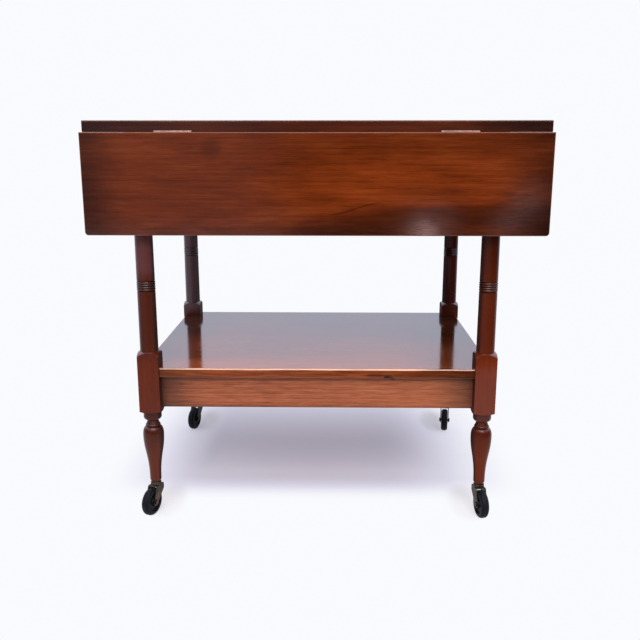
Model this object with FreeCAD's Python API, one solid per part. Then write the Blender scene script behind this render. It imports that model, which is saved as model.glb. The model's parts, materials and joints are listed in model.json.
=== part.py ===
import FreeCAD, Part
import math
import os

# Drop leaf tea trolley. Millimetres, +Z up, origin on the floor under the middle of the top.
# +X runs along the length, -Y is the front. Both leaves hang down.

# Boards
overall_height = 710.0
end_overhang = 69.0
leaf_leg_gap = 4.0
top_thickness = 19.0
leaf_width = 168.5
leaf_corner_radius = 6.0
leaf_joint_gap = 0.8
board_edge_radius = 1.5

# Leg places and blanks
leg_spacing_length = 600.0
leg_spacing_depth = 442.0
leg_square = 38.0
leg_arris_radius = 1.2
leg_blank_margin = 0.6

# Turned leg
top_block_drop = 10.0
top_shoulder_height = 9.0
post_top_radius = 15.4
post_base_radius = 16.1
reed_rise = 129.0
reed_count = 4
reed_pitch = 4.1
reed_stand = 0.5
reed_groove_depth = 1.5
reed_groove_half_width = 1.1
block_shoulder_height = 11.0
block_rise = 18.5
block_drop = 3.0
shoulder_bulge = 1.8

# Turned foot, from the square block down to the ankle
block_undercut = 5.0
collar_radius = 16.3
collar_height = 8.5
collar_round_height = 6.0
neck_radius = 10.0
neck_length = 2.5
neck_flare_height = 5.6
bead_radius = 13.5
bead_root_radius = 12.2
bead_height = 4.4
vase_lip_height = 1.0
vase_top_radius = 13.6
vase_shoulder_height = 14.5
vase_shoulder_curve_length = 7.5
vase_belly_radius = 18.9
belly_curve_length = 35.0
ankle_curve_length = 50.0
ankle_radius = 10.3
foot_end_round = 1.6

# Rails
rail_thickness = 18.0
top_rail_height = 75.0
shelf_rail_height = 60.5
rail_arris_radius = 1.2
tenon_thickness = 7.0
tenon_offset = 1.5
tenon_shoulder = 6.0
tenon_end_gap = 0.5
joint_clearance = 0.05

# Lower shelf
shelf_top_height = 282.0
shelf_thickness = 17.0
shelf_edge_inset = 4.5
shelf_top_edge_radius = 2.6
shelf_bottom_edge_radius = 1.6
shelf_notch_clearance = 0.2

# Corner blocks and their screws
corner_block_side = 46.0
corner_block_height = 34.0
corner_screw_grip = 11.0
corner_screw_shank_radius = 2.2
corner_screw_head_radius = 4.4

# Butt hinges
hinge_length = 63.0
hinge_leg_gap = 12.5
hinge_plate_width = 21.0
hinge_plate_thickness = 1.6
hinge_barrel_radius = 3.0
hinge_pin_radius = 1.45
hinge_pin_clearance = 0.05
hinge_knuckle_count = 5
hinge_knuckle_gap = 0.4
hinge_barrel_clearance = 0.4
hinge_recess_clearance = 0.05
hinge_screw_count = 3
hinge_screw_end_margin = 9.0
hinge_screw_shank_radius = 1.6
hinge_screw_head_radius = 3.1
hinge_screw_length = 13.0
screw_clearance = 0.05
screw_tip_length = 3.0
screw_tip_radius = 0.3
screw_slot_width = 0.8
screw_slot_depth = 0.5

# Slotted leaf stays
stay_stud_drop = 60.0
stay_pivot_inset = 8.0
stay_arm_half_width = 6.0
stay_arm_thickness = 2.0
stay_leg_gap = 3.6
stay_stud_radius = 2.5
stay_stud_flange_radius = 4.6
stay_stud_head_thickness = 1.6
stay_stud_grip = 18.0
stay_slot_clearance = 0.08
stay_slot_end_room = 0.4
stay_side_gap = 0.4
stay_ear_thickness = 2.0
stay_ear_half_width = 7.0
stay_foot_length = 22.0
stay_foot_height = 34.0
stay_foot_thickness = 2.0
stay_screw_edge_margin = 7.0
stay_rivet_radius = 2.0
stay_rivet_head_radius = 3.8
stay_rivet_head_thickness = 1.2
stay_rivet_clearance = 0.06

# Casters
caster_trail = 16.5
wheel_radius = 25.4
wheel_width = 15.0
wheel_shoulder_radius = 5.5
wheel_rim_thickness = 7.5
wheel_web_recess = 3.0
wheel_hub_radius = 8.0
wheel_dish_step = 1.2
wheel_bore_clearance = 0.08
axle_radius = 2.5
axle_head_radius = 4.2
axle_head_thickness = 2.4
axle_fit_clearance = 0.02
horn_sheet = 1.8
horn_wheel_gap = 0.5
horn_crown_gap = 1.6
horn_crown_back = 10.5
horn_crown_front = 12.0
horn_eye_radius = 6.8
horn_cheek_drop = 8.5
horn_cheek_round = 5.0
horn_bend_radius = 1.5
stem_radius = 4.0
stem_length = 34.0
stem_collar_radius = 9.8
stem_collar_height = 5.4
stem_collar_round = 1.2
stem_foot_radius = 5.6
stem_foot_thickness = 1.2
stem_tip_round = 1.0
socket_wall = 1.4
socket_flange_radius = 8.6
socket_flange_thickness = 3.0
socket_flange_round = 0.8
socket_end_room = 1.0
swivel_clearance = 0.05
swivel_gap = 0.4

# Swivel angle of each caster about its stem, 0 trails straight to the front
caster_yaw = {
    "front_left": -21.0,
    "front_right": 10.3,
    "rear_left": -14.5,
    "rear_right": -9.0,
}

# Values that follow from the sizes above
X_AXIS = FreeCAD.Vector(1, 0, 0)
Y_AXIS = FreeCAD.Vector(0, 1, 0)
Z_AXIS = FreeCAD.Vector(0, 0, 1)
ORIGIN = FreeCAD.Vector(0, 0, 0)

match_tolerance = 0.01
leg_x = leg_spacing_length / 2
leg_y = leg_spacing_depth / 2
leg_half = leg_square / 2
inner_x = leg_x - leg_half
inner_y = leg_y - leg_half
leg_corner_radius = leg_half * math.sqrt(2) + leg_blank_margin
top_half_length = leg_x + leg_half + end_overhang
top_half_depth = leg_y + leg_half + leaf_leg_gap
top_underside = overall_height - top_thickness
pivot_y = -top_half_depth - leaf_joint_gap / 2
pivot_z = top_underside
leaf_top = pivot_z - leaf_joint_gap / 2
shelf_bottom = shelf_top_height - shelf_thickness
tenon_length = rail_thickness - tenon_offset - tenon_thickness - tenon_end_gap
corner_screw_inset = corner_block_side / 3
hinge_offset = inner_x - hinge_leg_gap - hinge_length / 2
crown_underside = 2 * wheel_radius + horn_crown_gap
crown_top = crown_underside + horn_sheet
collar_top = crown_top + stem_collar_height
caster_height = collar_top + swivel_gap + socket_flange_thickness
block_top = shelf_top_height + block_rise
block_bottom = shelf_bottom - shelf_rail_height - block_drop
post_base = block_top + block_shoulder_height
top_block_low = top_underside - top_rail_height - top_block_drop
post_top = top_block_low - top_shoulder_height


def box(x0, x1, y0, y1, z0, z1):
    return Part.makeBox(x1 - x0, y1 - y0, z1 - z0, FreeCAD.Vector(x0, y0, z0))


def rod(radius, start, end):
    """Round bar between two points."""
    span = end - start
    return Part.makeCylinder(radius, span.Length, start, span)


def mirror_x(shape):
    """The left-hand twin of a right-hand piece."""
    return shape.mirror(ORIGIN, X_AXIS)


def turn_half(shape):
    """The rear twin of a front piece, turned half a circle about the middle."""
    twin = shape.copy()
    twin.rotate(ORIGIN, Z_AXIS, 180)
    return twin


def four_corners(front_right):
    """The same piece at all four corners, made from the front right one."""
    front_left = mirror_x(front_right)
    return {
        "front_left": front_left,
        "front_right": front_right,
        "rear_left": turn_half(front_right),
        "rear_right": turn_half(front_left),
    }


def round_edges(shape, radius, chosen):
    """Ease the edges whose end points and middle all pass the test."""
    edges = []
    for edge in shape.Edges:
        points = [vertex.Point for vertex in edge.Vertexes]
        points.append(edge.CenterOfMass)
        if all(chosen(point) for point in points):
            edges.append(edge)
    return shape.makeFillet(radius, edges)


def near(value, target):
    return abs(value - target) < match_tolerance


def prism(points, direction):
    """Straight prism on a closed outline."""
    outline = Part.makePolygon(points + [points[0]])
    return Part.Face(outline).extrude(direction)


# Turned legs

def at(radius, height):
    return FreeCAD.Vector(radius, 0, height)


def line(start, end):
    return Part.LineSegment(start, end).toShape()


def arc(start, middle, end):
    return Part.Arc(start, middle, end).toShape()


def curve(start, start_length, end_length, end):
    """Smooth curve that leaves and arrives parallel to the turning axis."""
    bezier = Part.BezierCurve()
    first = start + Z_AXIS * start_length
    last = end - Z_AXIS * end_length
    bezier.setPoles([start, first, last, end])
    return bezier.toShape()


def bulged(start, end):
    """Turned shoulder: an arc that swells outwards from the straight line."""
    across = end - start
    outward = FreeCAD.Vector(across.z, 0, -across.x)
    outward.normalize()
    middle = (start + end) * 0.5 + outward * shoulder_bulge
    return arc(start, middle, end)


def post_radius(height):
    """The post tapers evenly from its base to its top."""
    share = (height - post_base) / (post_top - post_base)
    return post_base_radius + share * (post_top_radius - post_base_radius)


def quarter_round(start, end):
    """Quarter of an oval that leaves square to the axis and arrives along it."""
    share = math.sqrt(0.5)
    middle = at(start.x + (end.x - start.x) * share, end.z - (end.z - start.z) * share)
    return arc(start, middle, end)


def foot_edges():
    """Foot outline from its end up to the underside of the square block."""
    block_low = at(leg_corner_radius, block_bottom)
    side_high = at(collar_radius, block_bottom - block_undercut)
    side_low = at(collar_radius, side_high.z - collar_height)
    round_low = at(neck_radius, side_low.z - collar_round_height)
    neck = at(neck_radius, round_low.z - neck_length)
    bead_high = at(bead_root_radius, neck.z - neck_flare_height)
    bead_mid = at(bead_radius, bead_high.z - bead_height / 2)
    bead_low = at(bead_root_radius, bead_high.z - bead_height)
    shoulder = at(vase_top_radius, bead_low.z - vase_lip_height)
    belly = at(vase_belly_radius, shoulder.z - vase_shoulder_height)
    ankle = at(ankle_radius, caster_height + foot_end_round)
    start = at(ankle_radius - foot_end_round, caster_height)
    edges = [line(at(0, caster_height), start)]
    edges.append(quarter_round(start, ankle))
    edges.append(curve(ankle, ankle_curve_length, belly_curve_length, belly))
    edges.append(vase_shoulder(belly, shoulder))
    edges.append(line(shoulder, bead_low))
    edges.append(arc(bead_low, bead_mid, bead_high))
    edges.append(line(bead_high, neck))
    edges.append(line(neck, round_low))
    edges.append(quarter_round(round_low, side_low))
    edges.append(line(side_low, side_high))
    edges.append(line(side_high, block_low))
    return edges, block_low


def vase_shoulder(belly, shoulder):
    """The vase closes over its belly and runs in square to the axis."""
    bezier = Part.BezierCurve()
    first = belly + Z_AXIS * vase_shoulder_curve_length
    last = FreeCAD.Vector((belly.x + shoulder.x) / 2, 0, shoulder.z)
    bezier.setPoles([belly, first, last, shoulder])
    return bezier.toShape()


def reed_edges(start):
    """Band of fine beads between two straight runs of the post."""
    edges = []
    low = block_top + reed_rise - reed_count * reed_pitch / 2
    high = low + reed_count * reed_pitch
    into = at(post_radius(low - reed_groove_half_width), low - reed_groove_half_width)
    out = at(post_radius(high + reed_groove_half_width), high + reed_groove_half_width)
    root = at(post_radius(low) - reed_groove_depth, low)
    edges.append(line(start, into))
    edges.append(line(into, root))
    for number in range(reed_count):
        foot = low + number * reed_pitch
        crest = at(post_radius(foot) + reed_stand, foot + reed_pitch / 2)
        end = at(post_radius(foot + reed_pitch) - reed_groove_depth, foot + reed_pitch)
        edges.append(arc(root, crest, end))
        root = end
    edges.append(line(root, out))
    return edges, out


def leg_blank():
    """The square blank that the leg is turned from, with softened arrises."""
    blank = box(-leg_half, leg_half, -leg_half, leg_half, 0, top_underside)
    upright = [edge for edge in blank.Edges if edge.BoundBox.ZLength > leg_square]
    return blank.makeFillet(leg_arris_radius, upright)


def turned_leg():
    """One whole leg about its own axis: foot, square block, reeded post and top block."""
    edges, block_low = foot_edges()
    block_high = at(leg_corner_radius, block_top)
    post_low = at(post_base_radius, post_base)
    edges.append(line(block_low, block_high))
    edges.append(bulged(block_high, post_low))
    reeds, reed_end = reed_edges(post_low)
    edges.extend(reeds)
    post_high = at(post_top_radius, post_top)
    head_low = at(leg_corner_radius, top_block_low)
    head_high = at(leg_corner_radius, top_underside)
    edges.append(line(reed_end, post_high))
    edges.append(bulged(post_high, head_low))
    edges.append(line(head_low, head_high))
    edges.append(line(head_high, at(0, top_underside)))
    edges.append(line(at(0, top_underside), at(0, caster_height)))
    outline = Part.Face(Part.Wire(edges))
    turning = outline.revolve(ORIGIN, Z_AXIS, 360)
    return turning.common(leg_blank())


def legs():
    """Front right leg with its mortises, stud hole and socket bore, then the other three."""
    leg = turned_leg()
    leg.translate(FreeCAD.Vector(leg_x, -leg_y, 0))
    for tenon in front_tenons(joint_clearance) + side_tenons(joint_clearance):
        leg = leg.cut(tenon)
    leg = leg.cut(stay_stud_core(screw_clearance))
    bore_top = caster_height + stem_length + socket_end_room
    foot = FreeCAD.Vector(leg_x, -leg_y, caster_height)
    bore_end = FreeCAD.Vector(leg_x, -leg_y, bore_top)
    leg = leg.cut(rod(socket_outer_radius() + joint_clearance, foot, bore_end))
    return four_corners(leg)


# Rails

def rail_levels():
    """Bottom and top of the rails under the table top and under the shelf."""
    return [
        (top_underside - top_rail_height, top_underside),
        (shelf_bottom - shelf_rail_height, shelf_bottom),
    ]


def front_tenon(low, high, room):
    """Right-hand tenon of a front rail."""
    face = -inner_y - rail_thickness
    y0 = face + tenon_offset - room
    y1 = face + tenon_offset + tenon_thickness + room
    z0 = low + tenon_shoulder - room
    z1 = high - tenon_shoulder + room
    return box(inner_x - room, inner_x + tenon_length + room, y0, y1, z0, z1)


def side_tenon(low, high, room):
    """Front tenon of a right-hand end rail."""
    face = inner_x + rail_thickness
    x0 = face - tenon_offset - tenon_thickness - room
    x1 = face - tenon_offset + room
    z0 = low + tenon_shoulder - room
    z1 = high - tenon_shoulder + room
    return box(x0, x1, -inner_y - tenon_length - room, -inner_y + room, z0, z1)


def front_tenons(room):
    return [front_tenon(low, high, room) for low, high in rail_levels()]


def side_tenons(room):
    return [side_tenon(low, high, room) for low, high in rail_levels()]


def front_rail(low, high):
    """Rail between the front legs, flush with the inner faces of the leg blocks."""
    face = -inner_y - rail_thickness
    board = box(-inner_x, inner_x, face, -inner_y, low, high)
    board = round_edges(board, rail_arris_radius, lambda p: near(p.z, low) and near(p.y, face))
    tenon = front_tenon(low, high, 0)
    return board.fuse([tenon, mirror_x(tenon)]).removeSplitter()


def side_rail(low, high):
    """Rail between the right-hand legs."""
    face = inner_x + rail_thickness
    board = box(inner_x, face, -inner_y, inner_y, low, high)
    board = round_edges(board, rail_arris_radius, lambda p: near(p.z, low) and near(p.x, face))
    tenon = side_tenon(low, high, 0)
    rear = tenon.mirror(ORIGIN, Y_AXIS)
    return board.fuse([tenon, rear]).removeSplitter()


def rails():
    """The rails of both levels."""
    made = {}
    for name, (low, high) in zip(["top_rail", "shelf_rail"], rail_levels()):
        front = front_rail(low, high)
        right = side_rail(low, high)
        made["front_" + name] = front
        made["rear_" + name] = turn_half(front)
        made["right_" + name] = right
        made["left_" + name] = turn_half(right)
    return made


# Screws

def screw(length, shank_radius, head_radius):
    """Countersunk slotted wood screw, head flush with z = 0 and driven upwards."""
    head_height = head_radius - shank_radius
    shank_end = length - screw_tip_length
    head = Part.makeCone(head_radius, shank_radius, head_height)
    shank = Part.makeCylinder(shank_radius, shank_end - head_height, at(0, head_height))
    tip = Part.makeCone(shank_radius, screw_tip_radius, screw_tip_length, at(0, shank_end))
    slot = box(-head_radius, head_radius, -screw_slot_width / 2, screw_slot_width / 2, 0, screw_slot_depth)
    return head.fuse([shank, tip]).removeSplitter().cut(slot)


def screw_space(length, shank_radius, head_radius):
    """Hole that a countersunk screw sits in."""
    wide = shank_radius + screw_clearance
    head_wide = head_radius + screw_clearance
    head = Part.makeCone(head_wide, wide, head_wide - wide)
    shank = Part.makeCylinder(wide, length + screw_clearance)
    return head.fuse(shank).removeSplitter()


def placed(shape, point, direction):
    """A piece made along +Z, set at a point and turned to a direction."""
    moved = shape.copy()
    moved.Placement = FreeCAD.Placement(point, FreeCAD.Rotation(Z_AXIS, direction))
    return moved


def corner_screw_places():
    """Heads of the screws that go up through the corner blocks."""
    places = []
    for low, high in rail_levels():
        for side in (-1, 1):
            for end in (-1, 1):
                x = side * (inner_x - corner_screw_inset)
                y = end * (inner_y - corner_screw_inset)
                places.append(FreeCAD.Vector(x, y, high - corner_block_height))
    return places


def corner_screw_sizes():
    length = corner_block_height + corner_screw_grip
    return length, corner_screw_shank_radius, corner_screw_head_radius


def corner_screws():
    made = screw(*corner_screw_sizes())
    return Part.makeCompound([placed(made, place, Z_AXIS) for place in corner_screw_places()])


def cut_corner_screws(shape):
    space = screw_space(*corner_screw_sizes())
    holes = [placed(space, place, Z_AXIS) for place in corner_screw_places()]
    return shape.cut(holes)


def corner_blocks(top):
    """Four three-cornered glue blocks under a board, in the corners of the rails."""
    corner = FreeCAD.Vector(inner_x, -inner_y, top - corner_block_height)
    along = corner - X_AXIS * corner_block_side
    across = corner + Y_AXIS * corner_block_side
    block = prism([corner, along, across], Z_AXIS * corner_block_height)
    return Part.makeCompound([cut_corner_screws(one) for one in four_corners(block).values()])


# Table top, leaves and shelf

def top_panel():
    half = top_half_length
    deep = top_half_depth
    board = box(-half, half, -deep, deep, top_underside, overall_height)
    board = round_edges(board, board_edge_radius, lambda p: near(p.z, overall_height))
    board = round_edges(
        board, board_edge_radius, lambda p: near(p.z, top_underside) and near(abs(p.x), half))
    front = [hinge_top_space(place) for place in hinge_places()]
    board = board.cut(front + [turn_half(space) for space in front])
    return cut_corner_screws(board)


def front_leaf():
    """Leaf hanging in front of the fixed top, with rounded outer corners and eased edges."""
    half = top_half_length
    low = leaf_top - leaf_width
    face = pivot_y - top_thickness
    board = box(-half, half, face, pivot_y, low, leaf_top)
    board = round_edges(board, leaf_corner_radius, lambda p: near(p.z, low) and near(abs(p.x), half))
    board = round_edges(board, board_edge_radius, lambda p: near(p.y, face))
    board = board.cut([hinge_leaf_space(place) for place in hinge_places()])
    return board.cut([stay_screw_space(place) for place in stay_screw_places()])


def lower_shelf():
    """Shelf board notched round the four leg blocks, resting on the shelf rails."""
    edge_x = leg_x + leg_half - shelf_edge_inset
    edge_y = leg_y + leg_half - shelf_edge_inset
    notch_x = inner_x - shelf_notch_clearance
    notch_y = inner_y - shelf_notch_clearance
    long_way = box(-edge_x, edge_x, -notch_y, notch_y, shelf_bottom, shelf_top_height)
    short_way = box(-notch_x, notch_x, -edge_y, edge_y, shelf_bottom, shelf_top_height)
    board = long_way.fuse(short_way).removeSplitter()
    board = round_edges(
        board, shelf_top_edge_radius,
        lambda p: near(p.z, shelf_top_height) and (near(abs(p.x), edge_x) or near(abs(p.y), edge_y)))
    board = round_edges(
        board, shelf_bottom_edge_radius,
        lambda p: near(p.z, shelf_bottom) and (near(abs(p.x), edge_x) or near(abs(p.y), edge_y)))
    return cut_corner_screws(board)


# Hinges, made for the front leaf at the middle of its length

def hinge_places():
    return [-hinge_offset, hinge_offset]


def knuckles():
    """Start and end along X of each knuckle, with a gap between neighbours."""
    pitch = hinge_length / hinge_knuckle_count
    spans = []
    for number in range(hinge_knuckle_count):
        start = -hinge_length / 2 + number * pitch + hinge_knuckle_gap / 2
        spans.append((start, start + pitch - hinge_knuckle_gap))
    return spans


def barrel(radius, start, end):
    left = FreeCAD.Vector(start, pivot_y, pivot_z)
    right = FreeCAD.Vector(end, pivot_y, pivot_z)
    return rod(radius, left, right)


def hinge_top_flap(start, end, reach):
    """Part of a plate that lies in the underside of the top, from the pin inwards."""
    y1 = pivot_y + hinge_plate_width
    return box(start, end, pivot_y + reach, y1, pivot_z, pivot_z + hinge_plate_thickness)


def hinge_leaf_flap(start, end, reach):
    """Part of a plate that lies in the inner face of the hung leaf, from the pin down."""
    z0 = pivot_z - hinge_plate_width
    return box(start, end, pivot_y - hinge_plate_thickness, pivot_y, z0, pivot_z - reach)


def hinge_screw_offsets():
    """Places of the screws along a hinge."""
    first = -hinge_length / 2 + hinge_screw_end_margin
    step = (hinge_length - 2 * hinge_screw_end_margin) / (hinge_screw_count - 1)
    return [first + number * step for number in range(hinge_screw_count)]


def hinge_screw_reach():
    """Distance of the screws from the pin, in the middle of the free plate."""
    return (hinge_plate_width + hinge_barrel_radius) / 2


def hinge_top_screw_places(place):
    y = pivot_y + hinge_screw_reach()
    return [FreeCAD.Vector(place + x, y, pivot_z) for x in hinge_screw_offsets()]


def hinge_leaf_screw_places(place):
    z = pivot_z - hinge_screw_reach()
    return [FreeCAD.Vector(place + x, pivot_y, z) for x in hinge_screw_offsets()]


def hinge_screw_sizes():
    return hinge_screw_length, hinge_screw_shank_radius, hinge_screw_head_radius


def hinge_plate(flap, own, screws):
    """Plate with its share of the knuckles, bored for the pin and countersunk for screws."""
    clear = hinge_barrel_radius + hinge_barrel_clearance
    bore = hinge_pin_radius + hinge_pin_clearance
    plate = flap(-hinge_length / 2, hinge_length / 2, clear)
    pieces = []
    for number, (start, end) in enumerate(knuckles()):
        if number % 2 == own:
            pieces.append(flap(start, end, bore))
            pieces.append(barrel(hinge_barrel_radius, start, end))
    plate = plate.fuse(pieces)
    plate = plate.cut(barrel(bore, -hinge_length, hinge_length))
    return plate.removeSplitter().cut(screws)


def hinge_top_plate():
    space = screw_space(*hinge_screw_sizes())
    holes = [placed(space, place, Z_AXIS) for place in hinge_top_screw_places(0)]
    return hinge_plate(hinge_top_flap, 0, holes)


def hinge_leaf_plate():
    space = screw_space(*hinge_screw_sizes())
    holes = [placed(space, place, -Y_AXIS) for place in hinge_leaf_screw_places(0)]
    return hinge_plate(hinge_leaf_flap, 1, holes)


def hinge_pin():
    return barrel(hinge_pin_radius, -hinge_length / 2, hinge_length / 2)


def hinge_barrel_space(place):
    """Hollow along the arris that the barrel turns in."""
    half = hinge_length / 2 + hinge_barrel_clearance
    return barrel(hinge_barrel_radius + hinge_barrel_clearance, place - half, place + half)


def hinge_top_space(place):
    """All that is cut from the fixed top for one hinge."""
    half = hinge_length / 2 + hinge_recess_clearance
    y1 = pivot_y + hinge_plate_width + hinge_recess_clearance
    z1 = pivot_z + hinge_plate_thickness
    bed = box(place - half, place + half, pivot_y, y1, pivot_z, z1)
    space = screw_space(*hinge_screw_sizes())
    holes = [placed(space, point, Z_AXIS) for point in hinge_top_screw_places(place)]
    return bed.fuse([hinge_barrel_space(place)] + holes)


def hinge_leaf_space(place):
    """All that is cut from the hung leaf for one hinge."""
    half = hinge_length / 2 + hinge_recess_clearance
    z0 = pivot_z - hinge_plate_width - hinge_recess_clearance
    y0 = pivot_y - hinge_plate_thickness
    bed = box(place - half, place + half, y0, pivot_y, z0, pivot_z)
    space = screw_space(*hinge_screw_sizes())
    holes = [placed(space, point, -Y_AXIS) for point in hinge_leaf_screw_places(place)]
    return bed.fuse([hinge_barrel_space(place)] + holes)


def hinges():
    """Plates of the four hinges."""
    made = {}
    for part, shape in (("top_plate", hinge_top_plate()), ("leaf_plate", hinge_leaf_plate())):
        right = shape.translated(X_AXIS * hinge_offset)
        left = shape.translated(X_AXIS * -hinge_offset)
        made["hinge_front_right_" + part] = right
        made["hinge_front_left_" + part] = left
        made["hinge_rear_left_" + part] = turn_half(right)
        made["hinge_rear_right_" + part] = turn_half(left)
    return made


def hinge_pins():
    front = [hinge_pin().translated(X_AXIS * place) for place in hinge_places()]
    return Part.makeCompound(front + [turn_half(pin) for pin in front])


def top_hinge_screws():
    made = screw(*hinge_screw_sizes())
    front = []
    for place in hinge_places():
        front.extend(placed(made, point, Z_AXIS) for point in hinge_top_screw_places(place))
    return Part.makeCompound(front + [turn_half(one) for one in front])


def front_leaf_screws():
    """Screws in the front leaf: those of the hinge plates and of the stay brackets."""
    made = screw(*hinge_screw_sizes())
    points = []
    for place in hinge_places():
        points.extend(hinge_leaf_screw_places(place))
    shapes = [placed(made, point, -Y_AXIS) for point in points]
    shapes.extend(placed(made, point, -Y_AXIS) for point in stay_screw_places())
    return Part.makeCompound(shapes)


# Slotted stays, made for the right-hand end of the front leaf.
# The stud on the leg and the pivot on the leaf lie equally far from the hinge pin,
# so the arm turns through exactly half the angle of the leaf while its slot slides on the stud.

def stay_stud_point():
    return FreeCAD.Vector(leg_x + leg_half, -leg_y, pivot_z - stay_stud_drop)


def stay_swing_radius():
    return math.hypot(stay_stud_point().y - pivot_y, stay_stud_drop)


def stay_pivot_point():
    drop = math.sqrt(stay_swing_radius() ** 2 - stay_pivot_inset ** 2)
    return FreeCAD.Vector(leg_x + leg_half, pivot_y + stay_pivot_inset, pivot_z - drop)


def stay_arm_plane():
    """Near face of the arm, clear of the leg."""
    return leg_x + leg_half + stay_leg_gap


def stay_ear_plane():
    return stay_arm_plane() + stay_arm_thickness + stay_side_gap


def stay_raised_reach():
    """Distance from pivot to stud when the leaf is up."""
    pivot = stay_pivot_point()
    across = pivot_z - pivot.z + stay_stud_point().y - pivot_y
    down = stay_stud_drop - stay_pivot_inset
    return math.hypot(across, down)


def capsule(start, end, radius, x0, x1):
    """Flat bar with round ends, between two points of a plane across X."""
    along = end - start
    along.normalize()
    side = X_AXIS.cross(along) * radius
    corners = [start + side, start - side, end - side, end + side]
    bar = prism([FreeCAD.Vector(x0, p.y, p.z) for p in corners], X_AXIS * (x1 - x0))
    first = FreeCAD.Vector(x0, start.y, start.z)
    last = FreeCAD.Vector(x0, end.y, end.z)
    ends = [Part.makeCylinder(radius, x1 - x0, place, X_AXIS) for place in (first, last)]
    return bar.fuse(ends).removeSplitter()


def stay_arm():
    """Slotted flat arm from the pivot on the leaf past the stud on the leg."""
    pivot = stay_pivot_point()
    along = stay_stud_point() - pivot
    nearest = along.Length - stay_slot_end_room
    along.normalize()
    furthest = stay_raised_reach() + stay_slot_end_room
    x0 = stay_arm_plane()
    x1 = x0 + stay_arm_thickness
    arm = capsule(pivot, pivot + along * furthest, stay_arm_half_width, x0, x1)
    slot_radius = stay_stud_radius + stay_slot_clearance
    slot = capsule(pivot + along * nearest, pivot + along * furthest, slot_radius, x0, x1)
    hole = FreeCAD.Vector(x0, pivot.y, pivot.z)
    bore = Part.makeCylinder(stay_rivet_radius + stay_rivet_clearance, stay_arm_thickness, hole, X_AXIS)
    return arm.cut([slot, bore])


def stay_stud_core(room):
    """Threaded end of the stud inside the leg."""
    point = stay_stud_point()
    return rod(stay_stud_radius + room, point, point - X_AXIS * (stay_stud_grip + room))


def stay_stud():
    """Shouldered stud: a flange against the leg, a neck in the slot and a head."""
    point = stay_stud_point()
    flange_end = point + X_AXIS * (stay_leg_gap - stay_side_gap)
    head_start = point + X_AXIS * (stay_leg_gap + stay_arm_thickness + stay_side_gap)
    head_end = head_start + X_AXIS * stay_stud_head_thickness
    pieces = [rod(stay_stud_flange_radius, point, flange_end)]
    pieces.append(rod(stay_stud_radius, flange_end, head_start))
    pieces.append(rod(stay_stud_flange_radius, head_start, head_end))
    return stay_stud_core(0).fuse(pieces).removeSplitter()


def stay_bracket():
    """Angle bracket on the inner face of the leaf, with an ear beside the arm."""
    pivot = stay_pivot_point()
    x0 = stay_ear_plane()
    x1 = x0 + stay_ear_thickness
    z0 = pivot.z - stay_foot_height / 2
    z1 = pivot.z + stay_foot_height / 2
    foot = box(x0, x0 + stay_foot_length, pivot_y, pivot_y + stay_foot_thickness, z0, z1)
    low = pivot.z - stay_ear_half_width
    high = pivot.z + stay_ear_half_width
    ear = box(x0, x1, pivot_y, pivot.y, low, high)
    near_side = FreeCAD.Vector(x0, pivot.y, pivot.z)
    far_side = FreeCAD.Vector(x1, pivot.y, pivot.z)
    tip = rod(stay_ear_half_width, near_side, far_side)
    bore = rod(stay_rivet_radius, near_side, far_side)
    bracket = foot.fuse([ear, tip]).removeSplitter().cut(bore)
    return bracket.cut([stay_screw_space(place) for place in stay_screw_places()])


def stay_rivet():
    """Rivet through the ear, with the arm turning on it between two heads."""
    pivot = stay_pivot_point()
    start = FreeCAD.Vector(stay_arm_plane() - stay_side_gap, pivot.y, pivot.z)
    end = FreeCAD.Vector(stay_ear_plane() + stay_ear_thickness, pivot.y, pivot.z)
    head = X_AXIS * stay_rivet_head_thickness
    shank = rod(stay_rivet_radius, start, end)
    near_head = rod(stay_rivet_head_radius, start - head, start)
    far_head = rod(stay_rivet_head_radius, end, end + head)
    return shank.fuse([near_head, far_head]).removeSplitter()


def stay_screw_places():
    """Screws of the two brackets of a leaf, on the face that meets the screw heads."""
    pivot = stay_pivot_point()
    x = stay_ear_plane() + stay_foot_length - stay_screw_edge_margin
    places = []
    for side in (-1, 1):
        for step in (-1, 1):
            z = pivot.z + step * (stay_foot_height / 2 - stay_screw_edge_margin)
            places.append(FreeCAD.Vector(side * x, pivot_y + stay_foot_thickness, z))
    return places


def stay_screw_space(place):
    return placed(screw_space(*hinge_screw_sizes()), place, -Y_AXIS)


def stays():
    """Arms of the four stays, each its own piece, and the shared small parts."""
    made = {}
    for corner, arm in four_corners(stay_arm()).items():
        made["stay_" + corner + "_arm"] = arm
    brackets = four_corners(stay_bracket())
    rivets = four_corners(stay_rivet())
    for side in ("front", "rear"):
        ends = [side + "_left", side + "_right"]
        made[side + "_stay_brackets"] = Part.makeCompound([brackets[end] for end in ends])
        made[side + "_stay_rivets"] = Part.makeCompound([rivets[end] for end in ends])
    made["stay_studs"] = Part.makeCompound(list(four_corners(stay_stud()).values()))
    return made


# Casters, made about their own stem with the wheel trailing to the front

def socket_outer_radius():
    return stem_radius + swivel_clearance + socket_wall


def caster_socket():
    """Flanged sleeve pressed into the foot, which the stem turns in."""
    flange_low = caster_height - socket_flange_thickness
    top = caster_height + stem_length + socket_end_room
    flange = Part.makeCylinder(socket_flange_radius, socket_flange_thickness, at(0, flange_low))
    flange = round_edges(flange, socket_flange_round, lambda p: near(p.z, flange_low))
    sleeve = Part.makeCylinder(socket_outer_radius(), top - caster_height, at(0, caster_height))
    bore = Part.makeCylinder(stem_radius + swivel_clearance, top - flange_low, at(0, flange_low))
    return flange.fuse(sleeve).removeSplitter().cut(bore)


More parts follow.
